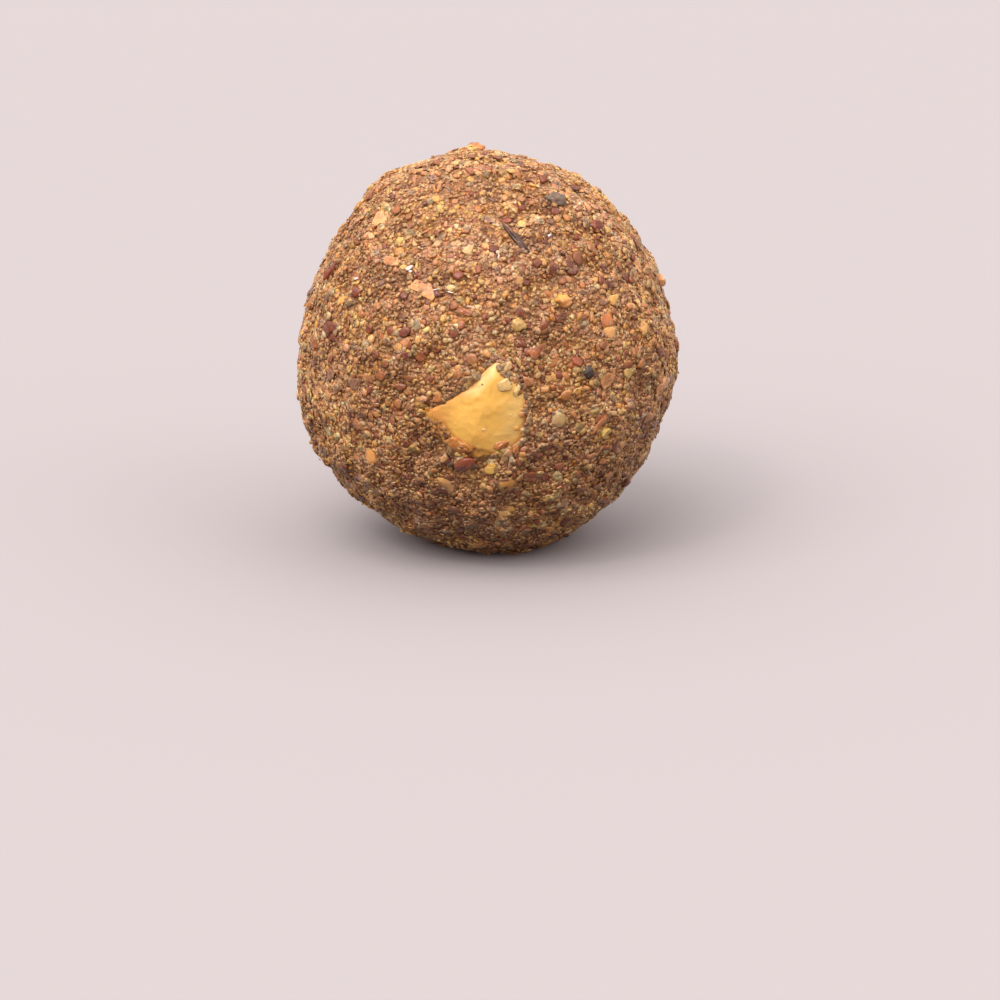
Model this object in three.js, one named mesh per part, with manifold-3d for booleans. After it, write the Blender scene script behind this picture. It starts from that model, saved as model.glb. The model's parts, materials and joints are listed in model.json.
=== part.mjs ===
// A flaxseed ladoo: one sweet of ground flaxseed, nuts and syrup, rolled into a ball by hand, with a
// broken piece of cashew showing in its side.
//
// Millimetres, +Z up. The origin is the middle of the small flat spot that the ball rests on. The
// cashew piece is on the front, which faces -Y, and +X is to its right. A direction on the ball is an
// azimuth, which turns from the front towards the right, and an elevation, both in degrees.

import * as THREE from 'three';
import { mergeVertices } from 'three/addons/utils/BufferGeometryUtils.js';
import Module from 'manifold-3d';

const wasm = await Module();
wasm.setup();

// Driving dimensions of the ball.
const BALL_WIDTH = 39.6;
const BALL_HEIGHT = 42.8;
const FLAT_DEPTH = 1.0; // what the flat spot takes off the height
const EDGE_SPLITS = 14; // how often each edge of the icosahedron under the ball is split
const GRAIN_RELIEF = 0.28; // how far the meal's own grains stand in or out, at most

// Swellings and dents that the hands left: where each lies, how far it stands out and its spread.
const LUMPS = [
  { azimuth: -84, elevation: -21, height: 1.0, spread: 12 }, // swelling low on the left
  { azimuth: -93, elevation: 14, height: -0.35, spread: 7 }, // flatter left side
  { azimuth: -99, elevation: 30, height: -0.4, spread: 10 }, // flatter upper left
  { azimuth: -114, elevation: 57, height: 0.4, spread: 8 }, // shoulder at the upper left
  { azimuth: -110, elevation: 71, height: -0.7, spread: 6 }, // finger mark left of the crown
  { azimuth: -141, elevation: 61, height: -0.9, spread: 7 }, // its end behind the crown
  { azimuth: -60, elevation: 84, height: 0.1, spread: 7 }, // crown
  { azimuth: 119, elevation: 76, height: -0.7, spread: 7 }, // finger mark right of the crown
  { azimuth: 152, elevation: 64, height: -0.8, spread: 9 }, // its end behind the crown
  { azimuth: 114, elevation: 56, height: -0.7, spread: 7 }, // step at the upper right
  { azimuth: 101, elevation: 37, height: -0.75, spread: 9 }, // slope at the upper right
  { azimuth: 98, elevation: 27, height: -0.5, spread: 4 }, // notch on the right
  { azimuth: 94, elevation: 15, height: -0.85, spread: 9 }, // flatter right side
  { azimuth: 82, elevation: -26, height: -0.75, spread: 15 }, // flatter low on the right
  { azimuth: 60, elevation: 4, height: 0.25, spread: 14 }, // slight swelling on the right front
  { azimuth: 178, elevation: -12, height: 0.15, spread: 22 }, // full back
];

// Rolling waves of the surface: the length of a wave and its usual height.
const WAVE_SETS = [
  { seed: 11, count: 10, length: 15, height: 0.14 },
  { seed: 23, count: 16, length: 5.2, height: 0.11 },
];

// Cashew piece: its outline on the face, to the right and up from its middle.
const CASHEW = { azimuth: -2, elevation: -3.5 };
const CASHEW_OUTLINE = [
  [1.8, 5.6], // top tip
  [3.5, 3.5],
  [4.5, 1.6], // right shoulder
  [4.3, -3.0], // lower right corner
  [1.6, -4.8], // foot
  [-1.8, -4.0],
  [-5.5, -0.2], // left tip
  [-2.6, 1.5],
];
const CASHEW_DEPTH = 4.4;
const CASHEW_RIDGE = 0.35; // how far the broken face stands up along its ridge
const RIDGE_REACH = 4.0; // from the ridge to where the face is level with the ball
const FACE_RINGS = [0.3, 0.6, 0.85]; // shares of the outline, from the middle of the face outwards
const EDGE_RING = { share: 0.97, depth: 0.1 }; // rounds the edge of the face
const SIDE_RINGS = [
  { share: 1, depth: 0.4 },
  { share: 0.96, depth: 1.6 },
  { share: 0.8, depth: 3.2 },
  { share: 0.45, depth: 4.0 },
];
const POCKET_GROWTH = 0.6; // leaves 0.3 between the piece and its pocket on slanted edges too
const POCKET_DROP = 0.4; // gap under the piece
const POCKET_MOUTH = 3; // how far the cut for the pocket runs out past the face

// Larger bits in the meal: flakes of flaxseed husk and crumbs of nut, spread evenly over the ball.
const BIT_COUNT = 112;
const BIT_JITTER = 0.055; // how far a bit strays from its even place, as a share of the radius
const FLAKE = { shortest: 1.9, longest: 3.7, slimness: 0.55, thickness: 0.85 };
const FLAKE_PINCH = 0.3; // how much slimmer a flake's pinched end is
const FLAKE_TILT = 0.35; // most that a flake leans to either side, in radians
const CRUMB = { smallest: 1.3, largest: 2.3 };
const CRUMB_PROPORTIONS = [1, 0.8, 0.7]; // length, width and thickness
const CRUMB_UNEVENNESS = 0.1; // how far its corners stray, as a share of its size
const CLEAR_OF_CASHEW = 8.6; // from the middle of the cashew piece to the middle of any bit
const CLEAR_OF_MARKED_BIT = 2.6;

// Bits that stand out to the eye, each with its own place: length, width, thickness and heading,
// which turns from the level towards the crown.
const MARKED_BITS = [
  { azimuth: -160, elevation: 79, size: [2.3, 1.9, 1.7], heading: 20 }, // crumb on the crown
  { azimuth: 119, elevation: 61, size: [2.1, 1.6, 1.2], heading: 20 }, // crumb on the upper right rim
  { azimuth: 101, elevation: 55, size: [1.4, 1.2, 1.3], heading: 0 }, // orange crumb on the same rim
  { azimuth: 40, elevation: 59, size: [2.3, 1.9, 1.1], heading: 0 }, // grey seed
  { azimuth: 11, elevation: 48, size: [4.0, 0.8, 0.7], heading: -62 }, // dark split stalk
  { azimuth: -70, elevation: 30, size: [2.9, 1.2, 0.9], heading: 75 }, // red husk at the left rim
  { azimuth: -57, elevation: 15, size: [2.5, 1.7, 0.9], heading: 10 }, // husk on the left
  { azimuth: 54, elevation: 49, size: [1.9, 1.6, 1.0], heading: 0 }, // husk at the upper right
  { azimuth: 35, elevation: -10, size: [3.2, 0.9, 0.8], heading: 40 }, // long husk, lower right
  { azimuth: 38, elevation: -14, size: [1.8, 1.5, 1.2], heading: 30 }, // green crumb
  { azimuth: 10, elevation: 22, size: [1.6, 1.4, 1.3], heading: 0 }, // pale round crumb
  { azimuth: 31, elevation: 6, size: [1.8, 1.4, 1.0], heading: 80 }, // blue-black seed end
  { azimuth: 25, elevation: 28, size: [2.2, 1.5, 1.3], heading: 0 }, // golden crumb
  { azimuth: 85, elevation: 24, size: [1.5, 1.3, 1.4], heading: 0 }, // crumb on the right rim
];

const SEEDS = { grains: 37, bits: 53, crumbs: 71 };
const GOLDEN_ANGLE = Math.PI * (3 - Math.sqrt(5));
const CENTRE_HEIGHT = BALL_HEIGHT / 2 - FLAT_DEPTH;

// Park and Miller's generator, so that every build draws the same numbers between 0 and 1.
function seededRandom(seed) {
  let state = seed;
  return () => {
    state = (state * 16807) % 2147483647;
    return state / 2147483647;
  };
}

function direction(azimuth, elevation) {
  const turn = THREE.MathUtils.degToRad(azimuth);
  const rise = THREE.MathUtils.degToRad(elevation);
  const level = Math.cos(rise);
  return new THREE.Vector3(Math.sin(turn) * level, -Math.cos(turn) * level, Math.sin(rise));
}

// A wave is a direction in space and a phase, drawn evenly over the sphere.
function makeWaves({ seed, count, length, height }) {
  const random = seededRandom(seed);
  const pitch = (2 * Math.PI * (BALL_WIDTH / 2)) / length;
  const strength = height * Math.sqrt(2 / count);
  return Array.from({ length: count }, () => {
    const z = 2 * random() - 1;
    const turn = 2 * Math.PI * random();
    const ring = Math.sqrt(1 - z * z);
    const vector = new THREE.Vector3(ring * Math.cos(turn), ring * Math.sin(turn), z);
    return { vector: vector.multiplyScalar(pitch), phase: 2 * Math.PI * random(), strength };
  });
}

const waves = WAVE_SETS.flatMap(makeWaves);
const lumps = LUMPS.map(({ azimuth, elevation, height, spread }) => ({
  toward: direction(azimuth, elevation),
  height,
  spread: THREE.MathUtils.degToRad(spread),
}));

// Distance from the middle of the ball to its surface, without the grains and bits.
function surfaceRadius(toward) {
  const across = Math.hypot(toward.x, toward.y) / (BALL_WIDTH / 2);
  const along = toward.z / (BALL_HEIGHT / 2);
  let radius = 1 / Math.hypot(across, along);
  for (const lump of lumps) {
    const away = toward.angleTo(lump.toward) / lump.spread;
    radius += lump.height * Math.exp(-away * away / 2);
  }
  for (const wave of waves) {
    radius += wave.strength * Math.cos(toward.dot(wave.vector) + wave.phase);
  }
  return radius;
}

// Keeps only the positions and joins the points that faces share.
function closedGeometry(geometry) {
  geometry.deleteAttribute('normal');
  geometry.deleteAttribute('uv');
  return mergeVertices(geometry);
}

function toSolid(geometry) {
  const vertProperties = new Float32Array(geometry.attributes.position.array);
  const triVerts = new Uint32Array(geometry.index.array);
  return new wasm.Manifold(new wasm.Mesh({ numProp: 3, vertProperties, triVerts }));
}

function toGeometry(solid) {
  const mesh = solid.getMesh();
  const geometry = new THREE.BufferGeometry();
  geometry.setAttribute('position', new THREE.BufferAttribute(mesh.vertProperties, 3));
  geometry.setIndex(new THREE.BufferAttribute(mesh.triVerts, 1));
  geometry.computeVertexNormals();
  return geometry;
}

// Applies a function to every point of a geometry.
function reshape(geometry, move) {
  const places = geometry.attributes.position;
  const point = new THREE.Vector3();
  for (let i = 0; i < places.count; i += 1) {
    move(point.fromBufferAttribute(places, i));
    places.setXYZ(i, point.x, point.y, point.z);
  }
  return geometry;
}

function mealGeometry() {
  const random = seededRandom(SEEDS.grains);
  const sphere = closedGeometry(new THREE.IcosahedronGeometry(1, EDGE_SPLITS));
  return reshape(sphere, (point) => {
    point.normalize();
    const grain = GRAIN_RELIEF * (2 * random() - 1);
    point.multiplyScalar(surfaceRadius(point) + grain);
  });
}

// A flake lies along X with its thickness along Z, and is pinched at one end as a flaxseed is.
function flakeGeometry([length, width, thickness]) {
  const flake = closedGeometry(new THREE.SphereGeometry(1, 6, 4).rotateZ(-Math.PI / 2));
  return reshape(flake, (point) => {
    const pinch = 1 - FLAKE_PINCH * point.x;
    point.set(point.x * length, point.y * width * pinch, point.z * thickness * pinch);
    point.multiplyScalar(0.5);
  });
}

function crumbGeometry([length, width, thickness], random) {
  const crumb = closedGeometry(new THREE.IcosahedronGeometry(1, 0));
  return reshape(crumb, (point) => {
    point.multiplyScalar(1 + CRUMB_UNEVENNESS * (2 * random() - 1));
    point.set(point.x * length, point.y * width, point.z * thickness);
    point.multiplyScalar(0.5);
  });
}

// Turns a piece's X to the heading and its Z away from the ball, and puts it at a distance.
function placement(toward, distance, heading) {
  const level = new THREE.Vector3(0, 0, 1).cross(toward).normalize();
  const rise = toward.clone().cross(level);
  const along = level.clone().multiplyScalar(Math.cos(heading));
  along.addScaledVector(rise, Math.sin(heading));
  const aside = toward.clone().cross(along);
  const matrix = new THREE.Matrix4().makeBasis(along, aside, toward);
  return matrix.setPosition(toward.clone().multiplyScalar(distance));
}

const markedDirections = MARKED_BITS.map((bit) => direction(bit.azimuth, bit.elevation));
const cashewDirection = direction(CASHEW.azimuth, CASHEW.elevation);

function isFree(toward) {
  const radius = BALL_WIDTH / 2;
  const clearOf = (other, gap) => toward.angleTo(other) * radius > gap;
  return clearOf(cashewDirection, CLEAR_OF_CASHEW)
    && markedDirections.every((other) => clearOf(other, CLEAR_OF_MARKED_BIT));
}

// Places for the scattered bits: a golden-angle spiral over the ball, each a little astray.
function scatteredBits() {
  const random = seededRandom(SEEDS.bits);
  const bits = [];
  for (let i = 0; i < BIT_COUNT; i += 1) {
    const height = 1 - (2 * i + 1) / BIT_COUNT;
    const ring = Math.sqrt(1 - height * height);
    const turn = i * GOLDEN_ANGLE;
    const toward = new THREE.Vector3(ring * Math.cos(turn), ring * Math.sin(turn), height);
    const astray = new THREE.Vector3(random() - 0.5, random() - 0.5, random() - 0.5);
    toward.addScaledVector(astray, 2 * BIT_JITTER).normalize();
    const heading = Math.PI * random();
    const share = random();
    const tilt = FLAKE_TILT * (2 * random() - 1);
    if (isFree(toward)) {
      bits.push({ toward, heading, share, tilt, isFlake: i % 2 === 0 });
    }
  }
  return bits;
}

function flakeSolid({ toward, heading, share, tilt }) {
  const length = THREE.MathUtils.lerp(FLAKE.shortest, FLAKE.longest, share * share);
  const flake = flakeGeometry([length, length * FLAKE.slimness, FLAKE.thickness]);
  flake.rotateX(tilt);
  flake.applyMatrix4(placement(toward, surfaceRadius(toward), heading));
  return toSolid(flake);
}

function crumbSolid({ toward, heading, share }, random) {
  const size = THREE.MathUtils.lerp(CRUMB.smallest, CRUMB.largest, share * share);
  const crumb = crumbGeometry(CRUMB_PROPORTIONS.map((part) => part * size), random);
  crumb.applyMatrix4(placement(toward, surfaceRadius(toward), heading));
  return toSolid(crumb);
}

function markedSolid({ azimuth, elevation, size, heading }) {
  const toward = direction(azimuth, elevation);
  const turn = THREE.MathUtils.degToRad(heading);
  const bit = flakeGeometry(size).applyMatrix4(placement(toward, surfaceRadius(toward), turn));
  return toSolid(bit);
}

// Joins rings of points, each a list of the same length, and closes both ends with a point.
function loftGeometry(firstPoint, rings, lastPoint) {
  const size = rings[0].length;
  const points = [firstPoint, ...rings.flat(), lastPoint];
  const last = points.length - 1;
  const faces = [];
  for (let k = 0; k < size; k += 1) {
    const next = (k + 1) % size;
    faces.push(0, 1 + next, 1 + k);
    for (let row = 1; row < rings.length; row += 1) {
      const above = 1 + (row - 1) * size;
      const below = above + size;
      faces.push(above + k, below + next, below + k);
      faces.push(above + k, above + next, below + next);
    }
    faces.push(last, last - size + k, last - size + next);
  }
  const geometry = new THREE.BufferGeometry().setFromPoints(points);
  geometry.setIndex(faces);
  return geometry;
}

// Height of the cashew piece's broken face: it follows the ball and rises along a ridge.
function faceHeight(point) {
  const [tipAcross, tipUp] = CASHEW_OUTLINE[0];
  const ridgeAcross = tipAcross * point.y / tipUp;
  const nearness = Math.max(0, 1 - Math.abs(point.x - ridgeAcross) / RIDGE_REACH);
  return CASHEW_RIDGE * nearness - point.lengthSq() / BALL_WIDTH;
}

// Points round the cashew piece's outline, three to each side: a share of it, grown outwards.
function cashewRing(share, growth, heightAt) {
  const corners = CASHEW_OUTLINE.map(([x, y]) => new THREE.Vector2(x, y));
  return corners.flatMap((corner, k) => {
    const next = corners[(k + 1) % corners.length];
    return [0, 1 / 3, 2 / 3].map((step) => {
      const point = corner.clone().lerp(next, step).multiplyScalar(share);
      point.setLength(point.length() + growth);
      return new THREE.Vector3(point.x, point.y, heightAt(point));
    });
  });
}

// The piece narrows into the ball. Its X is to the right, its Y is up and its Z is outwards.
function cashewGeometry() {
  const rings = FACE_RINGS.map((share) => cashewRing(share, 0, faceHeight));
  for (const { share, depth } of [EDGE_RING, ...SIDE_RINGS]) {
    rings.push(cashewRing(share, 0, (point) => faceHeight(point) - depth));
  }
  const top = new THREE.Vector3(0, 0, CASHEW_RIDGE);
  return loftGeometry(top, rings, new THREE.Vector3(0, 0, -CASHEW_DEPTH));
}

// The pocket follows the piece's sides with its gap, and runs out past the ball's surface.
function pocketGeometry() {
  const rings = [cashewRing(1, POCKET_GROWTH, () => POCKET_MOUTH)];
  for (const { share, depth } of SIDE_RINGS) {
    rings.push(cashewRing(share, POCKET_GROWTH, (point) => faceHeight(point) - depth - POCKET_DROP));
  }
  const floor = new THREE.Vector3(0, 0, -CASHEW_DEPTH - POCKET_DROP);
  return loftGeometry(new THREE.Vector3(0, 0, POCKET_MOUTH), rings, floor);
}

function restingSurfaceSolid() {
  const depth = BALL_HEIGHT / 2;
  const slab = new THREE.BoxGeometry(BALL_WIDTH, BALL_WIDTH, depth);
  slab.translate(0, 0, -CENTRE_HEIGHT - depth / 2);
  return toSolid(closedGeometry(slab));
}

const cashewPlace = placement(cashewDirection, surfaceRadius(cashewDirection), 0);

function ballGeometry() {
  const random = seededRandom(SEEDS.crumbs);
  let ball = toSolid(mealGeometry());
  for (const bit of scatteredBits()) {
    ball = ball.add(bit.isFlake ? flakeSolid(bit) : crumbSolid(bit, random));
  }
  for (const bit of MARKED_BITS) {
    ball = ball.add(markedSolid(bit));
  }
  const pocket = toSolid(pocketGeometry().applyMatrix4(cashewPlace));
  return toGeometry(ball.subtract(pocket).subtract(restingSurfaceSolid()));
}

const mealMaterial = new THREE.MeshStandardMaterial({ color: 0xb37e57, roughness: 0.6, metalness: 0 });
const cashewMaterial = new THREE.MeshStandardMaterial({ color: 0xebb25c, roughness: 0.5, metalness: 0 });

const ladooBall = new THREE.Mesh(ballGeometry(), mealMaterial);
ladooBall.name = 'ladoo_ball';

const cashewPiece = new THREE.Mesh(cashewGeometry(), cashewMaterial);
cashewPiece.name = 'cashew_piece';
cashewPiece.applyMatrix4(cashewPlace);

const ladoo = new THREE.Group();
ladoo.position.z = CENTRE_HEIGHT;
ladoo.add(ladooBall, cashewPiece);

export default ladoo;
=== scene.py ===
"""Looks of a flaxseed ladoo: a hand-rolled ball of ground flaxseed, nuts and syrup with a broken piece
of cashew in its side. The form of the ball, its larger bits and the cashew's outline repeat the
part's own named values, in millimetres about the ball's middle. Only the stalk differs, split into
strands here, and everything finer is made here.
"""
import json
import math

import bpy
import numpy as np
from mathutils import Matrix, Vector

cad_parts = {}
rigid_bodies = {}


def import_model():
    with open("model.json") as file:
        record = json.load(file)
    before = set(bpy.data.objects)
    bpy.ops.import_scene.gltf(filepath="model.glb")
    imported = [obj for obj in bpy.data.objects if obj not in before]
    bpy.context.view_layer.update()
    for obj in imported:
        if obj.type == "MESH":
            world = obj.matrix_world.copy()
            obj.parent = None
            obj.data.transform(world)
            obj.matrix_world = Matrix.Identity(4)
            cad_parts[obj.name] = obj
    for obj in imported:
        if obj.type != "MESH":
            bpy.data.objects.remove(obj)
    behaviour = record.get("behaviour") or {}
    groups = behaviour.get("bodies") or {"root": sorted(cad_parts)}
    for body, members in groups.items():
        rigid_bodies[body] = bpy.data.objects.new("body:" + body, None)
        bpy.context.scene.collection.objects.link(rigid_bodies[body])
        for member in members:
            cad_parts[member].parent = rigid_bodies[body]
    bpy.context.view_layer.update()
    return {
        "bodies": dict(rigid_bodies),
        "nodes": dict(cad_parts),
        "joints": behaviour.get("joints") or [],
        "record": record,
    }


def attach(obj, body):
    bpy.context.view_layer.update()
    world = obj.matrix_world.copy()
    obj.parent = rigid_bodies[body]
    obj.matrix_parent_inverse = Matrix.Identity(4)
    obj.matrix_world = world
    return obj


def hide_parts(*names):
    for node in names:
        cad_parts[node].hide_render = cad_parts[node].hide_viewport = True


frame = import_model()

MM = 0.001
BODY = "root"

# ------------------------------------------------------------------ the ball's form, as in the part
BALL_WIDTH = 39.6
BALL_HEIGHT = 42.8
FLAT_DEPTH = 1.0
CENTRE_HEIGHT = BALL_HEIGHT / 2 - FLAT_DEPTH
LUMPS = (  # azimuth, elevation, height, spread
    (-84, -21, 1.0, 12),
    (-93, 14, -0.35, 7),
    (-99, 30, -0.4, 10),
    (-114, 57, 0.4, 8),
    (-110, 71, -0.7, 6),
    (-141, 61, -0.9, 7),
    (-60, 84, 0.1, 7),
    (119, 76, -0.7, 7),
    (152, 64, -0.8, 9),
    (114, 56, -0.7, 7),
    (101, 37, -0.75, 9),
    (98, 27, -0.5, 4),
    (94, 15, -0.85, 9),
    (82, -26, -0.75, 15),
    (60, 4, 0.25, 14),
    (178, -12, 0.15, 22),
)
WAVE_SETS = ((11, 10, 15.0, 0.14), (23, 16, 5.2, 0.11))  # seed, count, length, height

CASHEW_AZIMUTH, CASHEW_ELEVATION = -2, -3.5
CASHEW_OUTLINE = np.array([
    (1.8, 5.6), (3.5, 3.5), (4.5, 1.6), (4.3, -3.0),
    (1.6, -4.8), (-1.8, -4.0), (-5.5, -0.2), (-2.6, 1.5),
])
CASHEW_RIDGE = 0.35
RIDGE_REACH = 4.0

BIT_COUNT = 112
BIT_JITTER = 0.055
FLAKE_SHORTEST, FLAKE_LONGEST, FLAKE_SLIMNESS, FLAKE_THICKNESS = 1.9, 3.7, 0.55, 0.85
FLAKE_PINCH = 0.3
FLAKE_TILT = 0.35
CRUMB_SMALLEST, CRUMB_LARGEST = 1.3, 2.3
CRUMB_PROPORTIONS = np.array([1, 0.8, 0.7])
CLEAR_OF_CASHEW = 8.6
CLEAR_OF_MARKED_BIT = 2.6
SEED_BITS = 53
GOLDEN_ANGLE = math.pi * (3 - math.sqrt(5))

# ------------------------------------------------------------------ tones, as sRGB out of 255
TAN = (217, 171, 117)
GOLDEN_TAN = (221, 167, 99)
WARM_TAN = (217, 160, 108)
ROSY_TAN = (205, 149, 110)
MAUVE_TAN = (203, 152, 113)
CREAM = (238, 202, 150)
DULL_CREAM = (206, 178, 134)
BRIGHT_CREAM = (238, 190, 126)
GOLD = (232, 170, 80)
GOLDEN_BROWN = (207, 147, 80)
DULL_GOLD = (214, 144, 60)
SMEAR_BROWN = (188, 118, 50)
BROWN = (173, 117, 74)
DULL_BROWN = (134, 98, 76)
ORANGE = (188, 116, 62)
RED_BROWN = (126, 65, 41)
AMBER = (152, 92, 54)
MAROON = (110, 56, 38)
SEED_RED = (130, 56, 22)
MAUVE = (142, 110, 98)
PALE_GREEN = (208, 182, 112)
SLATE = (104, 90, 76)
STALK_BROWN = (72, 50, 44)
INK = (60, 48, 48)
NUT = (230, 180, 106)
# near-white, for the glints: a painted highlight
GLINT = (250, 232, 220)
# painted shade: the colour left deep between the grains, where shade falls
CREVICE_SHADE = (0.66, 0.3, 0.15)  # what is left of each colour deep between the grains
SYRUP_TINT = np.array([0.985, 0.81, 0.675])  # the syrup that coats the meal takes some of each colour

# Bits of the part that stand out: azimuth, elevation, (length, width, thickness), heading, tone
MARKED_BITS = (
    (-160, 79, (2.3, 1.9, 1.7), 20, BROWN),
    (119, 61, (2.1, 1.6, 1.2), 20, GOLDEN_BROWN),
    (101, 55, (1.4, 1.2, 1.3), 0, ORANGE),
    (40, 59, (2.3, 1.9, 1.1), 0, SLATE),
    (11, 48, (4.6, 0.36, 0.6), -66, STALK_BROWN),  # one strand of the part's split stalk
    (-70, 30, (2.9, 1.2, 0.9), 75, RED_BROWN),
    (-57, 15, (2.5, 1.7, 0.9), 10, RED_BROWN),
    (54, 49, (1.9, 1.6, 1.0), 0, RED_BROWN),
    (35, -10, (3.2, 0.9, 0.8), 40, BROWN),
    (38, -14, (1.8, 1.5, 1.2), 30, PALE_GREEN),
    (10, 22, (1.6, 1.4, 1.3), 0, PALE_GREEN),
    (31, 6, (1.8, 1.4, 1.0), 80, INK),
    (25, 28, (2.2, 1.5, 1.3), 0, GOLDEN_TAN),
    (85, 24, (1.5, 1.3, 1.4), 0, TAN),
)

STALK_AT = 4  # the stalk's row above
# The other strands of the stalk, and smaller husks and crumbs that catch the eye, in the same columns
STRANDS = (
    # the thin mauve middle strand is a painted highlight between the two dark ones
    (11.7, 48.2, (4.3, 0.2, 0.5), -65, MAUVE),
    (12.4, 48.4, (4.4, 0.44, 0.6), -64, STALK_BROWN),
)
SMALL_HUSKS = (
    (-26, 12, (1.3, 1.0, 0.5), 30, MAROON),
    (10, 26, (1.2, 0.9, 0.5), 60, MAROON),
    (45, 31, (1.4, 1.1, 0.6), 20, MAROON),
    (31, 38, (1.4, 1.0, 0.6), -40, RED_BROWN),
    (60, 34, (1.1, 0.9, 0.6), 0, MAROON),
    (15, 14, (1.9, 1.3, 0.6), 40, AMBER),
    (13, 38, (1.9, 1.2, 0.6), -50, AMBER),
    (25, 38, (1.7, 1.1, 0.6), 10, RED_BROWN),
    (-7, -18.6, (2.2, 1.2, 0.8), 20, RED_BROWN),
    (-30, -17, (2.2, 1.2, 0.6), 15, BROWN),
    (-47, -31, (2.2, 1.1, 0.6), -20, BROWN),
    (-46, -9, (1.4, 1.0, 0.5), 70, MAROON),
    (-34, 17, (1.6, 1.0, 0.5), 80, ORANGE),
    (46, 36, (1.1, 0.8, 0.5), 0, RED_BROWN),
    (24, -29, (1.5, 1.2, 0.6), 30, MAROON),
    (-61, 43, (1.6, 0.8, 0.5), 60, RED_BROWN),
    (-7, 26, (2.0, 0.8, 0.5), -12, AMBER),
    (-50, 69, (1.4, 0.8, 0.5), 10, MAUVE),
    (0, 55, (1.8, 0.6, 0.5), -32, MAUVE),
    (65, 86, (1.6, 0.7, 0.5), 0, SLATE),
    (7, 44, (1.2, 0.8, 0.5), 85, RED_BROWN),
)
SMALL_CRUMBS = (
    (21.4, -7.2, (1.7, 1.9, 0.7), 0, DULL_CREAM),
    (1, -21, (1.2, 1.1, 0.9), 0, GOLD),
    (41, 17, (1.8, 1.4, 1.2), 30, TAN),
    (6, -27, (1.8, 1.3, 1.1), 20, GOLDEN_TAN),
    (46, 4, (1.4, 1.2, 1.0), 0, PALE_GREEN),
    (-38, 45, (1.0, 0.9, 0.8), 0, PALE_GREEN),
    (-27, 58, (1.1, 1.0, 0.8), 0, PALE_GREEN),
    (-46, 77, (1.0, 0.9, 0.8), 0, PALE_GREEN),
    (61, 38, (1.0, 0.9, 0.8), 0, NUT),
    (59, 46, (1.0, 0.9, 0.8), 0, NUT),
    (68, 27, (1.1, 1.0, 0.9), 0, PALE_GREEN),
    (88, 53, (1.3, 1.1, 1.2), 0, GOLDEN_TAN),
    (80, 15, (1.3, 1.1, 1.2), 0, TAN),
    (45, 26, (1.7, 1.1, 0.8), 20, NUT),
    (40.5, 20.7, (1.7, 1.5, 1.0), 60, ORANGE),
    (-13, 33, (1.1, 0.7, 0.7), -10, CREAM),
    (16, 53, (1.0, 0.9, 0.8), 0, NUT),
)
# Near-white glossy flakes where the surface glints, their colour a painted highlight, in the same columns
GLINTS = (
    (-29.5, 37.4, (0.8, 0.4, 0.3), 50, GLINT),
    (-28.8, 36.4, (0.4, 0.3, 0.3), 0, GLINT),
    (-50.5, 31, (0.6, 0.3, 0.3), 30, GLINT),
    (26.6, 48, (0.5, 0.3, 0.3), 30, GLINT),
    (-18, 32, (1.2, 0.14, 0.25), 20, GLINT),
    (-13, 31.5, (0.8, 0.14, 0.25), -15, GLINT),
    (4, 43, (0.8, 0.14, 0.25), 85, GLINT),
    (-6, 27.5, (0.9, 0.16, 0.25), -15, GLINT),
)
# Crumbs and husks about the cashew: right, up, (length, width, thickness), heading, tone
NEAR_CASHEW = (
    (2.3, 3.1, (2.0, 1.7, 0.9), 8, BRIGHT_CREAM),
    (3.5, 2.3, (1.5, 0.9, 0.8), 75, BRIGHT_CREAM),
    (2.6, 4.6, (1.5, 1.0, 0.8), 60, TAN),
    (2.5, -4.9, (1.9, 1.3, 0.7), 60, WARM_TAN),
    (-2.4, -4.7, (1.2, 0.8, 0.7), 45, NUT),
    (-2.3, -5.2, (1.1, 0.5, 0.6), 30, TAN),
    (-3.0, -3.9, (1.3, 1.0, 0.8), 40, DULL_CREAM),
    (0.2, -5.0, (1.7, 1.1, 0.7), 40, GOLDEN_TAN),
    (0.9, -6.6, (1.3, 1.1, 0.7), 0, GOLD),
    (-4.6, 1.3, (1.3, 1.0, 0.7), 20, ORANGE),
    (-6.3, 1.0, (1.1, 0.8, 0.6), 0, ROSY_TAN),
)
# A whole seed and amber flakes, in the same columns
WHOLE_SEED = ((-1.8, -5.8, (2.4, 1.5, 1.3), 28, SEED_RED),)
AMBER_FLAKES = (
    (2.0, -3.6, (1.6, 1.1, 0.9), 20, ORANGE),
    (2.7, -4.5, (1.5, 1.1, 0.8), 60, WARM_TAN),
    (3.4, -4.2, (1.2, 0.8, 0.7), 70, ORANGE),
)
# Cashew rubbed into the meal, in the same columns
SMEAR = (
    (-5.4, -0.6, (1.8, 1.2, 0.4), -20, DULL_GOLD),
    (-4.7, -1.4, (2.8, 1.8, 0.4), -45, DULL_GOLD),
    (-4.0, -2.2, (3.0, 2.2, 0.4), -45, SMEAR_BROWN),
    (-3.2, -3.1, (3.0, 2.2, 0.4), -40, DULL_GOLD),
    (-2.3, -3.8, (2.8, 1.8, 0.4), -25, SMEAR_BROWN),
    (-0.6, -4.4, (2.6, 1.5, 0.4), -10, DULL_GOLD),
)
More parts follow.
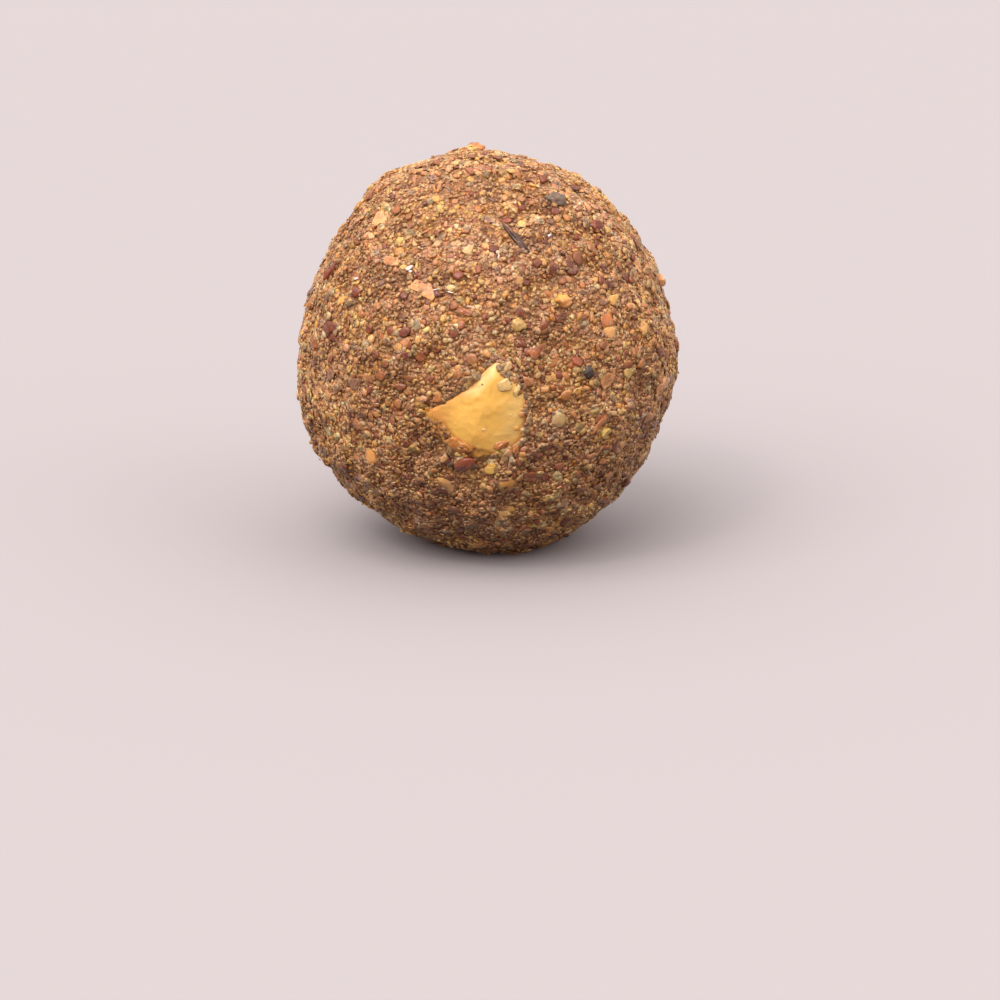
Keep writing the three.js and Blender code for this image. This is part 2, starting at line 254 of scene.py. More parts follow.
# Beads of syrup and specks of husk on the cashew's face: right, up, width, thickness, tone, gloss
FACE_MARKS = (
    (3.1, 0.9, 0.34, 0.16, BRIGHT_CREAM, 0.12),
    (2.9, 0.4, 0.30, 0.14, BRIGHT_CREAM, 0.12),
    (2.9, -0.3, 0.34, 0.14, BRIGHT_CREAM, 0.12),
    (0.2, -1.8, 0.36, 0.18, BRIGHT_CREAM, 0.1),
    (3.5, -1.8, 0.6, 0.16, GOLD, 0.15),
    # a near-white bead: its colour is a painted highlight
    (-4.4, -1.6, 0.4, 0.24, GLINT, 0.08),
    (-2.8, -0.9, 0.3, 0.14, BRIGHT_CREAM, 0.15),
    (1.2, 1.8, 0.28, 0.1, AMBER, 0.4),
    (1.15, 0.4, 0.22, 0.08, AMBER, 0.4),
    (1.25, 1.2, 0.18, 0.08, AMBER, 0.4),
    (0.1, 3.0, 0.26, 0.1, AMBER, 0.4),
    (-3.0, -2.9, 0.5, 0.14, AMBER, 0.3),
)


def linear(tones):
    """One or more tones out of 255 as scene-linear red, green and blue."""
    c = np.asarray(tones, float) / 255
    return np.where(c <= 0.04045, c / 12.92, ((c + 0.055) / 1.055) ** 2.4)


# ------------------------------------------------------------------ directions and the ball's surface
def lehmer(seed):
    """The part's own generator, so that its bits come out at the same places here."""
    state = seed
    while True:
        state = state * 16807 % 2147483647
        yield state / 2147483647


def direction(azimuth, elevation):
    turn, rise = math.radians(azimuth), math.radians(elevation)
    level = math.cos(rise)
    return np.array([math.sin(turn) * level, -math.cos(turn) * level, math.sin(rise)])


def make_waves():
    """Rows of wave vector, phase and strength, drawn in the part's order."""
    rows = []
    for seed, count, length, height in WAVE_SETS:
        draw = lehmer(seed)
        pitch = 2 * math.pi * (BALL_WIDTH / 2) / length
        for _ in range(count):
            z = 2 * next(draw) - 1
            turn = 2 * math.pi * next(draw)
            ring = math.sqrt(1 - z * z)
            vector = pitch * np.array([ring * math.cos(turn), ring * math.sin(turn), z])
            phase = 2 * math.pi * next(draw)
            rows.append((*vector, phase, height * math.sqrt(2 / count)))
    return np.array(rows)


WAVES = make_waves()


def unit(vectors):
    return vectors / np.linalg.norm(vectors, axis=-1, keepdims=True)


def surface_radius(toward):
    """Distance from the ball's middle to its surface, for an array of directions."""
    across = np.hypot(toward[:, 0], toward[:, 1]) / (BALL_WIDTH / 2)
    radius = 1 / np.hypot(across, toward[:, 2] / (BALL_HEIGHT / 2))
    for azimuth, elevation, height, spread in LUMPS:
        angle = np.arccos(np.clip(toward @ direction(azimuth, elevation), -1, 1))
        radius += height * np.exp(-(angle / math.radians(spread)) ** 2 / 2)
    for *vector, phase, strength in WAVES:
        radius += strength * np.cos(toward @ np.array(vector) + phase)
    return radius


def frames_at(toward, heading):
    """Rotation matrices whose columns point along the heading, aside of it and outwards."""
    level = unit(np.cross([0, 0, 1], toward))
    rise = np.cross(toward, level)
    along = level * np.cos(heading)[:, None] + rise * np.sin(heading)[:, None]
    return np.stack([along, np.cross(toward, along), toward], axis=2)


MEAL_LUMP_LENGTH, MEAL_LUMP_HEIGHT = 2.8, 0.12

CASHEW_TOWARD = direction(CASHEW_AZIMUTH, CASHEW_ELEVATION)
CASHEW_FRAME = frames_at(CASHEW_TOWARD[None], np.zeros(1))[0]
CASHEW_RADIUS = surface_radius(CASHEW_TOWARD[None])[0]


def outline_distance(flat):
    """How far points of the cashew's plane lie outside its outline; inside is negative."""
    nearest = np.full(len(flat), np.inf)
    inside = np.zeros(len(flat), bool)
    for a, b in zip(CASHEW_OUTLINE, np.roll(CASHEW_OUTLINE, -1, axis=0)):
        edge = b - a
        share = np.clip((flat - a) @ edge / (edge @ edge), 0, 1)
        gap = np.linalg.norm(flat - a - share[:, None] * edge, axis=1)
        nearest = np.minimum(nearest, gap)
        spans = (a[1] > flat[:, 1]) != (b[1] > flat[:, 1])
        cross = a[0] + (flat[:, 1] - a[1]) * edge[0] / (edge[1] if edge[1] else 1e-9)
        inside ^= spans & (flat[:, 0] < cross)
    return np.where(inside, -nearest, nearest)


def meal_radius(toward):
    """The surface with the small lumps and hollows of pressed meal."""
    lumps = wave_noise(toward * BALL_WIDTH / 2, MEAL_LUMP_LENGTH, 61, 40)
    return surface_radius(toward) + MEAL_LUMP_HEIGHT * lumps


def pressed(points, give):
    """Points above the ball's surface, pushed back towards it as by the hands that rolled it."""
    distance = np.linalg.norm(points, axis=-1, keepdims=True)
    toward = points / distance
    surface = meal_radius(toward.reshape(-1, 3)).reshape(distance.shape)
    proud = np.maximum(distance - surface, 0)
    return points - toward * (proud - give * (1 - np.exp(-proud / give)))


def beyond_cashew(toward):
    """How far directions on the ball lie outside the cashew's outline, in millimetres."""
    local = toward @ CASHEW_FRAME * CASHEW_RADIUS
    distance = outline_distance(local[:, :2])
    return np.where(local[:, 2] > 0, distance, np.inf)


def wave_noise(points, length, seed, count=24):
    """Smooth noise about zero with a spread of one: a sum of seeded waves through space."""
    rng = np.random.default_rng(seed)
    vectors = unit(rng.normal(size=(count, 3))) * rng.uniform(0.7, 1.4, (count, 1)) * 2 * math.pi / length
    phases = rng.uniform(0, 2 * math.pi, count)
    total = np.zeros(points.shape[:-1])
    for vector, phase in zip(vectors, phases):
        total += np.cos(points @ vector + phase)
    return total * math.sqrt(2 / count)


# ------------------------------------------------------------------ meshes from arrays
def link_object(name, data):
    thing = bpy.data.objects.new(name, data)
    bpy.context.scene.collection.objects.link(thing)
    return thing


def add_piece(name, mesh, material, node):
    """A finished piece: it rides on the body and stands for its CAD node."""
    mesh.materials.append(material)
    piece = link_object(name, mesh)
    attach(piece, BODY)
    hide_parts(node)


def mesh_of(name, points, faces, smooth):
    """A mesh from points in millimetres about the ball's middle and a list of faces."""
    mesh = bpy.data.meshes.new(name)
    mesh.from_pydata(((points + [0, 0, CENTRE_HEIGHT]) * MM).tolist(), [], faces)
    mesh.polygons.foreach_set("use_smooth", np.full(len(mesh.polygons), smooth))
    mesh.update()
    return mesh


def paint(mesh, colours, gloss):
    """Stores a linear colour and a gloss for each point."""
    count = len(mesh.vertices)
    layer = mesh.attributes.new("tone", "FLOAT_COLOR", "POINT")
    layer.data.foreach_set("color", np.c_[colours, np.ones(count)].ravel().astype(np.float32))
    layer = mesh.attributes.new("gloss", "FLOAT", "POINT")
    layer.data.foreach_set("value", np.broadcast_to(gloss, count).astype(np.float32))


def map_corners(mesh, places):
    """Stores a map: a place between 0 and 1 for each corner of each face."""
    layer = mesh.uv_layers.new(name="OFBake")
    layer.data.foreach_set("uv", np.clip(places, 0, 1).ravel().astype(np.float32))


def icosphere(splits):
    """Points and faces of a unit icosphere."""
    golden = (1 + math.sqrt(5)) / 2
    points = [(-1, golden, 0), (1, golden, 0), (-1, -golden, 0), (1, -golden, 0),
              (0, -1, golden), (0, 1, golden), (0, -1, -golden), (0, 1, -golden),
              (golden, 0, -1), (golden, 0, 1), (-golden, 0, -1), (-golden, 0, 1)]
    faces = [(0, 11, 5), (0, 5, 1), (0, 1, 7), (0, 7, 10), (0, 10, 11),
             (1, 5, 9), (5, 11, 4), (11, 10, 2), (10, 7, 6), (7, 1, 8),
             (3, 9, 4), (3, 4, 2), (3, 2, 6), (3, 6, 8), (3, 8, 9),
             (4, 9, 5), (2, 4, 11), (6, 2, 10), (8, 6, 7), (9, 8, 1)]
    points, faces = unit(np.array(points, float)), np.array(faces)
    for _ in range(splits):
        points, faces = split_faces(points, faces)
    return points, faces


def split_faces(points, faces):
    """Each triangle as four, with the new points on the unit sphere."""
    edges = np.sort(faces[:, [0, 1, 1, 2, 2, 0]].reshape(-1, 2), axis=1)
    pairs, index = np.unique(edges, axis=0, return_inverse=True)
    middles = index.reshape(-1, 3) + len(points)
    points = np.vstack([points, unit(points[pairs].sum(1))])
    a, b, c = faces.T
    ab, bc, ca = middles.T
    quarters = np.stack([a, ab, ca, ab, b, bc, ca, bc, c, ab, bc, ca], axis=1)
    return points, quarters.reshape(-1, 3)


def flake_plate(corners):
    """A thin domed plate: two middle points, an upper inner ring and a rim."""
    turn = np.arange(corners) * 2 * math.pi / corners
    ring = np.stack([np.cos(turn), np.sin(turn)], 1)
    inner = np.c_[ring * 0.62, np.full(corners, 0.8)]
    rim = np.c_[ring, np.full(corners, -0.1)]
    points = np.vstack([[0, 0, 1], inner, rim, [0, 0, -1]])
    faces = []
    for k in range(corners):
        a, b = 1 + k, 1 + (k + 1) % corners
        faces += [(0, a, b), (a, a + corners, b + corners), (a, b + corners, b)]
        faces += [(a + corners, 2 * corners + 1, b + corners)]
    return points, np.array(faces)


# ------------------------------------------------------------------ the many small grains
LIGHT_SHIFT = np.array([0.135, 0.165, 0.205])  # how a lighter patch raises each colour
GOLD_SHIFT = np.array([0.1, 0.0, -1.0])  # how a more golden one changes each colour
GRAIN_GOLD, PATCH_GOLD = 0.05, 0.12  # how much grains and patches differ in that way
# painted crevice shade: darkest at the floor, fading out over the depth above it
CREVICE_FLOOR, CREVICE_DEPTH = -0.35, 0.45  # where the crevices are darkest, and how deep they are
SHARE_ON_BITS = 0.7  # how many of the fine grains that fall on a larger bit stay on it
BIT_TOP = 0.24  # how far such a bit raises them
ASTRAY = 0.33  # how far a grain strays from its place in the spiral, as a share of their spacing
KEPT_OFF_CASHEW = 0.35  # how far a grain's middle keeps off the cashew, as a share of its size


def scatter(count, rng):
    """Directions spread evenly over the ball by a golden-angle spiral, each a little astray."""
    i = np.arange(count)
    height = 1 - (2 * i + 1) / count
    ring = np.sqrt(1 - height ** 2)
    turn = i * GOLDEN_ANGLE + rng.uniform(0, 2 * math.pi)
    toward = np.stack([ring * np.cos(turn), ring * np.sin(turn), height], 1)
    pitch = math.sqrt(4 * math.pi / count)
    return unit(toward + rng.normal(0, ASTRAY * pitch, (count, 3)))


def crushed(template, count, cuts, jitter, rng):
    """Copies of a unit template, each cut flat on several sides and knocked uneven."""
    points = np.repeat(template[None], count, axis=0)
    for _ in range(cuts):
        normal = unit(rng.normal(size=(count, 1, 3)))
        depth = rng.uniform(0.45, 0.95, (count, 1))
        reach = (points * normal).sum(2)
        points *= np.where(reach > depth, depth / np.maximum(reach, 1e-6), 1)[:, :, None]
    return points * (1 + rng.uniform(-jitter, jitter, points.shape[:2])[:, :, None])


def clustered(template, count, lobes, jitter, rng):
    """Ragged crumbs: each of several crushed lumps grown together."""
    points, faces = template
    lumps = [crushed(points, count, 2, jitter, rng) * rng.uniform(0.5, 0.78, (count, 1, 1))
             + unit(rng.normal(size=(count, 1, 3))) * [0.42, 0.42, 0.3] for _ in range(lobes)]
    joined = np.concatenate([faces + k * len(points) for k in range(lobes)])
    return np.concatenate(lumps, axis=1), joined


def pick_tones(palette, count, spread, rng):
    """A tone for each grain, each a little lighter or darker and more or less golden."""
    tones, weights = zip(*palette)
    chosen = linear(tones)[rng.choice(len(tones), count, p=np.array(weights) / sum(weights))]
    lightness = np.exp(rng.normal(0, spread, (count, 1)) * LIGHT_SHIFT / LIGHT_SHIFT.mean())
    gold = np.exp(rng.normal(0, GRAIN_GOLD, (count, 1)) * GOLD_SHIFT)
    return chosen * lightness * gold


def drift(points, waves):
    """Smooth patches from waves given by share, length, seed and count."""
    return sum(share * wave_noise(points, length, seed, count) for share, length, seed, count in waves)


def tone_drift(points):
    """Patches and small clumps of the meal that are lighter or darker, and others more golden."""
    lightness = drift(points, ((0.6, 14, 71, 24), (0.6, 6, 73, 24), (0.8, 2.4, 74, 40)))
    gold = np.clip(drift(points, ((0.7, 9, 75, 24), (0.8, 2.8, 76, 40))), -1.2, 1.6)
    return np.exp(lightness[..., None] * LIGHT_SHIFT + gold[..., None] * PATCH_GOLD * GOLD_SHIFT)


def deep_shade(points):
    """Painted shade: how much of each colour is left at a depth below the ball's surface."""
    flat = points.reshape(-1, 3)
    height = np.linalg.norm(flat, axis=1) - meal_radius(unit(flat))
    open_share = np.clip((height - CREVICE_FLOOR) / CREVICE_DEPTH, 0, 1)[:, None]
    return (CREVICE_SHADE + (1 - np.array(CREVICE_SHADE)) * open_share).reshape(points.shape)


def grains(name, forms, faces, places, frames, sizes, tones, gloss, material, give,
           rim=0.0, smooth=True, buried=True):
    """Joins grains into one piece: forms are unit shapes, sized, turned, put in place and pressed."""
    copies = np.einsum("nij,nkj->nki", frames, forms * sizes[:, None, :] / 2) + places[:, None, :]
    copies = pressed(copies, np.broadcast_to(give, len(copies))[:, None, None])
    clear = copies[:, :, 2].min(1) > -CENTRE_HEIGHT + 0.02
    copies, forms, tones, gloss = copies[clear], forms[clear], tones[clear], gloss[clear]
    count, corners = copies.shape[:2]
    joined = (faces[None] + corners * np.arange(count)[:, None, None]).reshape(-1, faces.shape[1])
    mesh = mesh_of(name, copies.reshape(-1, 3), joined.tolist(), smooth)
    outwards = np.clip(np.hypot(forms[:, :, 0], forms[:, :, 1]), 0, 1)[:, :, None]
    colours = np.repeat(tones[:, None, :], corners, axis=1) * (1 + rim * outwards ** 2)
    # buried grains get the syrup tint, tone patches and painted shade deep between the grains
    if buried:
        colours *= SYRUP_TINT * deep_shade(copies) * tone_drift(copies)
    paint(mesh, np.clip(colours, 0, 0.95).reshape(-1, 3), np.repeat(gloss, corners))
    side = math.ceil(math.sqrt(count))
    cell = np.stack(np.divmod(np.arange(count), side), 1)
    reach = np.abs(forms[:, :, :2]).max()
    within = 0.5 + 0.46 * forms[:, :, :2] / reach
    chart = ((cell[:, None, :] + within) / side).reshape(-1, 2)
    map_corners(mesh, chart[joined.ravel()])
    add_piece(name, mesh, material, "ladoo_ball")


def lay(name, toward, size, palette, form, material, rng, lift, give=(0.05, 0.2), lean=0.25, flatness=0.5,
        slimness=0.6, gloss=(0.22, 0.52), spread=0.1, rim=0.0, raised=0.0):
    """Grains of a kind pressed into the ball's surface at the given directions."""
    count = len(toward)
    forms, faces = form(count, rng)
    sizes = size[:, None] * np.stack([
        np.ones(count), rng.uniform(slimness, 1.0, count), flatness * rng.uniform(0.75, 1.25, count),
    ], axis=1)
    distance = meal_radius(toward) + sizes[:, 2] * rng.uniform(*lift, count) + raised
    astray = unit(toward + rng.normal(0, lean, toward.shape))
    frames = frames_at(astray, rng.uniform(0, 2 * math.pi, count))
    tones = pick_tones(palette, count, spread, rng)
    grains(name, forms, faces, toward * distance[:, None], frames, sizes, tones,
           rng.uniform(*gloss, count), material, rng.uniform(*give, count) + raised, rim)


def grain_layer(name, count, sizes, palette, form, material, seed, power=1.6, over=(), **how):
    """A layer of one kind of grain all round the ball, clear of the cashew and thin on larger bits."""
    rng = np.random.default_rng(seed)
    toward = scatter(count, rng)
    size = sizes[0] + (sizes[1] - sizes[0]) * rng.random(count) ** power
    keep = beyond_cashew(toward) > KEPT_OFF_CASHEW * size
    if over:
        raised = height_of_bits(toward, over)
        keep &= (raised < 0.02) | (rng.random(count) < SHARE_ON_BITS)
        how["raised"] = raised[keep]
    lay(name, toward[keep], size[keep], palette, form, material, rng, **how)


def height_of_bits(toward, rows):
    """How far the larger bits raise the surface, for an array of directions."""
    raised = np.zeros(len(toward))
    for middle, heading, size, *_ in rows:
        near = toward @ middle > 0.98
        frame = frames_at(middle[None], np.array([heading]))[0]
        offset = (toward[near] - middle) @ frame * BALL_WIDTH / 2
        share = np.hypot(offset[:, 0] / size[0] * 2, offset[:, 1] / size[1] * 2)
        raised[near] = np.maximum(raised[near], BIT_TOP * np.clip((1 - share) / 0.3, 0, 1))
    return raised


def cluster_form(lobes, jitter):
    template = icosphere(0)
    return lambda count, rng: clustered(template, count, lobes, jitter, rng)


def shard_form(count, rng):
    """Fine broken shards: uneven eight-sided pieces."""
    points = np.array([(1, 0, 0), (0, 1, 0), (-1, 0, 0), (0, -1, 0), (0, 0, 1), (0, 0, -1)], float)
    faces = np.array([(0, 1, 4), (1, 2, 4), (2, 3, 4), (3, 0, 4),
                      (1, 0, 5), (2, 1, 5), (3, 2, 5), (0, 3, 5)])
    forms = points * rng.uniform(0.6, 1.25, (count, 6, 1)) + rng.normal(0, 0.16, (count, 6, 3))
    return forms, faces


def plate_form(corners, torn, uneven, bend):
    """Uneven plates: broken at each corner, rough on top and bent a little along their length."""
    points, faces = flake_plate(corners)

    def make(count, rng):
        forms = np.repeat(points[None], count, axis=0)
        broken = rng.uniform(torn, 1.08, (count, corners))
        forms[:, 1:-1, :2] *= np.tile(broken, (1, 2))[:, :, None]
        forms[:, :-1, 2] += rng.normal(0, uneven, (count, len(points) - 1))
        forms[:, :, 2] += rng.uniform(*bend, (count, 1)) * (0.4 - forms[:, :, 0] ** 2)
        return forms, faces

    return make


def crumb_form(torn):
    """Small uneven crumbs, with corners that reach from this share of their size outwards."""
    return plate_form(6, torn, 0.2, (-0.5, 0.5))


# ------------------------------------------------------------------ materials
def new_material(name):
    material = bpy.data.materials.new(name)
    material.use_nodes = True
    nodes = material.node_tree.nodes
    return material, nodes, material.node_tree.links, nodes["Principled BSDF"]


def noise_node(nodes, links, coordinates, scale, detail=3.0, roughness=0.6):
    noise = nodes.new("ShaderNodeTexNoise")
    noise.inputs["Scale"].default_value = scale
    noise.inputs["Detail"].default_value = detail
    noise.inputs["Roughness"].default_value = roughness
    links.new(coordinates, noise.inputs["Vector"])
    return noise


def ranged(nodes, links, value, low, high, source=(0.0, 1.0)):
    node = nodes.new("ShaderNodeMapRange")
    node.inputs["From Min"].default_value, node.inputs["From Max"].default_value = source
    node.inputs["To Min"].default_value, node.inputs["To Max"].default_value = low, high
    links.new(value, node.inputs["Value"])
    return node.outputs["Result"]


def scaled_colour(nodes, links, colour, factor):
    node = nodes.new("ShaderNodeVectorMath")
    node.operation = "SCALE"
    links.new(colour, node.inputs[0])
    links.new(factor, node.inputs["Scale"])
    return node.outputs["Vector"]


def mixed_colour(nodes, links, factor, first, second):
    node = nodes.new("ShaderNodeMix")
    node.data_type = "RGBA"
    links.new(factor, node.inputs[0])
    for socket, colour in ((node.inputs[6], first), (node.inputs[7], second)):
        if isinstance(colour, tuple):
            socket.default_value = (*linear(colour), 1)
        else:
            links.new(colour, socket)
    return node.outputs[2]


def bump_node(nodes, links, height, strength, distance, normal=None):
    node = nodes.new("ShaderNodeBump")
    node.inputs["Strength"].default_value = strength
    node.inputs["Distance"].default_value = distance
    links.new(height, node.inputs["Height"])
    if normal:
        links.new(normal, node.inputs["Normal"])
    return node.outputs["Normal"]


def grain_material(name, subsurface=0.5, mottling=0.12, bump=0.4, stain=0.3):
    """Each grain has its own tone and gloss, mottled, stained with syrup and roughened by noise."""
    material, nodes, links, shader = new_material(name)
    place = nodes.new("ShaderNodeTexCoord").outputs["Object"]
    tone = nodes.new("ShaderNodeAttribute")
    tone.attribute_name = "tone"
    gloss = nodes.new("ShaderNodeAttribute")
    gloss.attribute_name = "gloss"
    mottle = noise_node(nodes, links, place, 2400, 3.0, 0.6)
    factor = ranged(nodes, links, mottle.outputs["Fac"], 1 - mottling, 1 + mottling, (0.25, 0.75))
    colour = scaled_colour(nodes, links, tone.outputs["Color"], factor)
    smear = noise_node(nodes, links, place, 1300, 3.0)
    share = ranged(nodes, links, smear.outputs["Fac"], 0, stain, (0.5, 0.72))
    links.new(mixed_colour(nodes, links, share, colour, ROSY_TAN), shader.inputs["Base Color"])
    links.new(gloss.outputs["Fac"], shader.inputs["Roughness"])
    coarse = bump_node(nodes, links, mottle.outputs["Fac"], bump, 0.0003)
    fine = noise_node(nodes, links, place, 7500, 2.0)
    relief = bump_node(nodes, links, fine.outputs["Fac"], 0.4 * bump, 0.0001, coarse)
    links.new(relief, shader.inputs["Normal"])
    shader.inputs["Subsurface Weight"].default_value = subsurface
    shader.inputs["Subsurface Radius"].default_value = (1.0, 0.82, 0.65)
    shader.inputs["Subsurface Scale"].default_value = 0.001
    shader.inputs["Specular IOR Level"].default_value = 0.5
    return material


def paste_material():
    """The sticky meal between the larger grains: cells of its own small grains in mixed tones."""
    material, nodes, links, shader = new_material("meal_paste")
    place = nodes.new("ShaderNodeTexCoord").outputs["Object"]
    warp = noise_node(nodes, links, place, 1500, 2.0)
    shift = nodes.new("ShaderNodeVectorMath")
    shift.operation = "MULTIPLY_ADD"
    shift.inputs[1].default_value = (0.0006,) * 3
    links.new(warp.outputs["Color"], shift.inputs[0])
    links.new(place, shift.inputs[2])
    cells = nodes.new("ShaderNodeTexVoronoi")
    cells.inputs["Scale"].default_value = 2400
    links.new(shift.outputs["Vector"], cells.inputs["Vector"])
    pick = nodes.new("ShaderNodeSeparateColor")
    links.new(cells.outputs["Color"], pick.inputs["Color"])
    ramp = nodes.new("ShaderNodeValToRGB")
    ramp.color_ramp.interpolation = "CONSTANT"
    stops = ((0.0, ROSY_TAN), (0.3, WARM_TAN), (0.6, TAN), (0.8, BROWN), (0.9, GOLDEN_TAN))
    while len(ramp.color_ramp.elements) < len(stops):
        ramp.color_ramp.elements.new(1.0)
    for element, (position, tone) in zip(ramp.color_ramp.elements, stops):
        element.position = position
        element.color = (*linear(tone), 1)
    links.new(pick.outputs["Red"], ramp.inputs["Fac"])
    tone = nodes.new("ShaderNodeAttribute")
    tone.attribute_name = "tone"
    drifted = nodes.new("ShaderNodeVectorMath")
    drifted.operation = "MULTIPLY"
    links.new(ramp.outputs["Color"], drifted.inputs[0])
    links.new(tone.outputs["Color"], drifted.inputs[1])
    # painted shade: each small cell darker towards its edge, as in the gaps between grains
    cell_edge_shade = ranged(nodes, links, cells.outputs["Distance"], 0.95, 0.45, (0.2, 0.7))
    links.new(scaled_colour(nodes, links, drifted.outputs["Vector"], cell_edge_shade), shader.inputs["Base Color"])
    relief = bump_node(nodes, links, cells.outputs["Distance"], 1.0, -0.0003)
    fine = noise_node(nodes, links, place, 7000, 2.0)
    links.new(bump_node(nodes, links, fine.outputs["Fac"], 0.5, 0.0001, relief), shader.inputs["Normal"])
    links.new(ranged(nodes, links, warp.outputs["Fac"], 0.35, 0.6), shader.inputs["Roughness"])
    shader.inputs["Subsurface Weight"].default_value = 0.4
    shader.inputs["Subsurface Radius"].default_value = (1.0, 0.75, 0.5)
    shader.inputs["Subsurface Scale"].default_value = 0.0004
    return material


def cashew_material():
    """Buttery, slightly waxy nut with faint streaks."""
    material, nodes, links, shader = new_material("cashew_flesh")
    place = nodes.new("ShaderNodeTexCoord").outputs["Object"]
    tone = nodes.new("ShaderNodeAttribute")
    tone.attribute_name = "tone"
    broad = noise_node(nodes, links, place, 420, 3.0)
    factor = ranged(nodes, links, broad.outputs["Fac"], 0.9, 1.1, (0.3, 0.7))
    links.new(scaled_colour(nodes, links, tone.outputs["Color"], factor), shader.inputs["Base Color"])
    fine = noise_node(nodes, links, place, 1800, 4.0)
    links.new(bump_node(nodes, links, fine.outputs["Fac"], 0.5, 0.00015), shader.inputs["Normal"])
    links.new(ranged(nodes, links, fine.outputs["Fac"], 0.3, 0.55, (0.3, 0.7)), shader.inputs["Roughness"])
    shader.inputs["Subsurface Weight"].default_value = 0.35
    shader.inputs["Subsurface Radius"].default_value = (1.0, 0.6, 0.25)
    shader.inputs["Subsurface Scale"].default_value = 0.0007
    return material


# ------------------------------------------------------------------ the meal under the grains
CORE_CELLS = 88
CORE_INSET = 0.1
CRAGS = ((1.8, 0.08), (1.0, 0.08))  # length, height
PIT_DEPTH, PIT_SLOPE = 1.1, 0.6  # of the pit under the cashew: how deep, and how wide its edge slopes


def meal_core():
    """The ball itself, from a cube's six faces, with creases and a pit for the cashew."""
    line = np.tan(np.linspace(-math.pi / 4, math.pi / 4, CORE_CELLS + 1))
    u, v = (x.ravel() for x in np.meshgrid(line, line, indexing="ij"))
    one = np.ones_like(u)
    sides = [(one, u, v), (-one, v, u), (v, one, u), (u, -one, v), (u, v, one), (v, u, -one)]
    toward = unit(np.concatenate([np.stack(side, axis=1) for side in sides]))
    row, column = np.indices((CORE_CELLS, CORE_CELLS)).reshape(2, -1)
    stride = CORE_CELLS + 1
    corner = row * stride + column
    quad = np.stack([corner, corner + stride, corner + stride + 1, corner + 1], axis=1)
    quads = np.concatenate([quad + side * stride ** 2 for side in range(6)])
    steps = np.stack([row, column], 1)[:, None, :] + [[0, 0], [1, 0], [1, 1], [0, 1]]
    chart = [(side % 3, side // 3) for side in range(6)]
    places = np.concatenate([(np.array(at) + 0.01 + 0.98 * steps / CORE_CELLS) / (3, 2) for at in chart])
    _, first, index = np.unique(toward.round(6), axis=0, return_index=True, return_inverse=True)
    toward, quads = toward[first], index.ravel()[quads]
    under_cashew = np.clip(-beyond_cashew(toward) / PIT_SLOPE, 0, 1)
    relief = sum(height * (np.abs(wave_noise(toward * BALL_WIDTH / 2, length, 100 + k, 60)) - 0.8)
                 for k, (length, height) in enumerate(CRAGS))
    radius = meal_radius(toward) - CORE_INSET + relief * (1 - under_cashew) - PIT_DEPTH * under_cashew
    points = toward * radius[:, None]
    points[:, 2] = np.maximum(points[:, 2], -CENTRE_HEIGHT)
    mesh = mesh_of("meal_core", points, quads.tolist(), True)
    # painted shade: the core darker down in its creases
    crease = 0.5 + 0.5 * smooth_step(relief, -0.11, -0.02)
    paint(mesh, SYRUP_TINT * tone_drift(points) * crease[:, None], 0.4)
    map_corners(mesh, places)
    add_piece("meal_core", mesh, paste_material(), "ladoo_ball")


# ------------------------------------------------------------------ the larger bits, as in the part
def scattered_bits():
    """The part's larger bits: direction, heading, share, tilt and kind."""
    draw = lehmer(SEED_BITS)
    marked = [direction(azimuth, elevation) for azimuth, elevation, *_ in MARKED_BITS]
    radius = BALL_WIDTH / 2
    bits = []
    for i in range(BIT_COUNT):
        height = 1 - (2 * i + 1) / BIT_COUNT
        ring = math.sqrt(1 - height * height)
        toward = np.array([ring * math.cos(i * GOLDEN_ANGLE), ring * math.sin(i * GOLDEN_ANGLE), height])
        toward = unit(toward + 2 * BIT_JITTER * np.array([next(draw) - 0.5 for _ in range(3)]))
        heading = math.pi * next(draw)
        share = next(draw)
        tilt = FLAKE_TILT * (2 * next(draw) - 1)
        gaps = [math.acos(np.clip(toward @ other, -1, 1)) * radius for other in (CASHEW_TOWARD, *marked)]
        if gaps[0] > CLEAR_OF_CASHEW and min(gaps[1:]) > CLEAR_OF_MARKED_BIT:
            bits.append((toward, heading, share, tilt, i % 2 == 0))
    return bits


def lump_forms(count, cuts, jitter, uneven, seed):
    """Unit lumps for the larger bits, cut flat on several sides and made uneven by noise."""
    points, faces = icosphere(2)
    forms = crushed(points, count, cuts, jitter, np.random.default_rng(seed))
    apart = 9 * np.arange(count)[:, None, None]  # each lump takes its noise from another place
    return forms * (1 + uneven * wave_noise(forms + apart, 0.9, seed)[:, :, None]), faces


def larger_bits(name, rows, material, seed, lift=0.0, cuts=5, uneven=0.12, give=0.32, **finish):
    """One piece of the larger bits of a kind: rows of direction, heading, size, tilt, tone and gloss."""
    toward, heading, sizes, tilt, tones, gloss = (np.array(column, float) for column in zip(*rows))
    forms, faces = lump_forms(len(rows), cuts, 0.02, uneven, seed)
    forms[:, :, 1:] *= 1 - FLAKE_PINCH * forms[:, :, :1]
    frames = frames_at(toward, heading)
    along, aside, out = (frames[:, :, k] for k in range(3))
    c, s = np.cos(tilt)[:, None], np.sin(tilt)[:, None]
    frames = np.stack([along, aside * c + out * s, out * c - aside * s], axis=2)
    places = toward * (surface_radius(toward) + lift)[:, None]
    grains(name, forms, faces, places, frames, sizes, tones, gloss, material, give, **finish)


